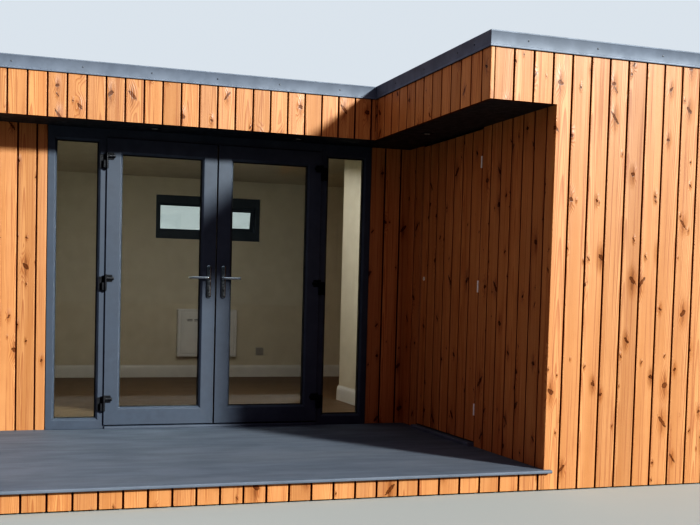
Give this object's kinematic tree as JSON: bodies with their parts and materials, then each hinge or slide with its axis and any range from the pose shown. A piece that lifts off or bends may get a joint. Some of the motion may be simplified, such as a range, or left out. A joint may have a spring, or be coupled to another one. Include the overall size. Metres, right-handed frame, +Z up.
{
  "type": "garden office pod",
  "caption": "Flat-roofed timber-clad garden office with glazed double doors, a canopy over a raised deck and a store room beside it.",
  "frame": {"origin": "on the ground under the middle of the whole building", "axes": "+X to the right along the front, +Y from the front to the back, +Z up"},
  "size_m": [4.67, 5.6124, 2.5],
  "materials": {
    "base": "rough sawn",
    "floor": "satin boards",
    "bare_floor": "bare board",
    "deck": "matt textured",
    "boards": "oiled",
    "plaster": "matt painted board",
    "sheathing": "bare board",
    "soffit": "satin",
    "lamp": "satin",
    "membrane": "matt",
    "trim": "satin",
    "frame": "fine grain",
    "glass": "clear",
    "chrome": "polished",
    "black_hinge": "satin",
    "steel": "satin",
    "sill": "anodised",
    "white": "satin",
    "painted_wood": "satin paint"
  },
  "bodies": {
    "root": {"ceiling": "plaster", "deck_base": "base", "deck_boards": "deck", "deck_cladding": "boards", "door_frame": "frame", "downlights": "lamp", "front_cladding": "boards", "front_fascia": "boards", "front_wall": "plaster", "left_cladding": "boards", "left_sidelight_frame": "frame", "left_wall": "plaster", "office_base": "base", "office_floor": "floor", "panel_heater": "white", "partition_wall": "plaster", "post_hinges": "black_hinge", "rear_cladding": "boards", "rear_wall": "plaster", "rear_window_frame": "frame", "rear_window_glass": "glass", "rear_window_sash": "frame", "right_cladding": "boards", "right_sidelight_frame": "frame", "right_wall": "plaster", "roof_deck": "membrane", "roof_kerb": "membrane", "roof_trim": "trim", "side_fascia": "boards", "sidelight_glass": "glass", "skirting": "painted_wood", "soffits": "soffit", "store_base": "base", "store_floor": "bare_floor", "store_front_cladding": "boards", "store_front_wall": "sheathing", "store_post_hinges": "steel", "store_rear_wall": "sheathing", "store_side_cladding": "boards", "store_side_wall": "sheathing", "store_sill": "sill", "wall_headers": "plaster", "wall_socket": "white"},
    "left_door": {"left_door_leaf": "frame", "left_door_glass": "glass", "left_door_plates": "chrome", "left_door_hinges": "black_hinge"},
    "right_door": {"right_door_leaf": "frame", "right_door_glass": "glass", "right_door_plates": "chrome", "right_door_hinges": "black_hinge"},
    "left_lever": {"left_door_lever": "chrome"},
    "right_lever": {"right_door_lever": "chrome"},
    "store_door": {"store_door_cladding": "boards", "store_door_core": "sheathing", "store_door_lock": "steel", "store_door_hinges": "steel"}
  },
  "joints": [
    {"name": "left_door_swing", "type": "hinge", "parent": "root", "child": "left_door", "pos_m": [-1.338, -0.90774, 1.11], "axis": [0, 0, -1], "range_deg": [0, 100]},
    {"name": "right_door_swing", "type": "hinge", "parent": "root", "child": "right_door", "pos_m": [0.186, -0.90774, 1.11], "axis": [0, 0, 1], "range_deg": [0, 100]},
    {"name": "store_door_swing", "type": "hinge", "parent": "root", "child": "store_door", "pos_m": [0.872, -1.96624, 1.136], "axis": [0, 0, 1], "range_deg": [0, 110]},
    {"name": "left_lever_turn", "type": "hinge", "parent": "left_door", "child": "left_lever", "pos_m": [-0.628, -0.89824, 1.158], "axis": [0, -1, 0], "range_deg": [0, 40], "stiffness_Nm_per_rad": 1.2, "springref_deg": -20.05},
    {"name": "right_lever_turn", "type": "hinge", "parent": "right_door", "child": "right_lever", "pos_m": [-0.524, -0.89824, 1.158], "axis": [0, 1, 0], "range_deg": [0, 40], "stiffness_Nm_per_rad": 1.2, "springref_deg": -20.05}
  ]
}
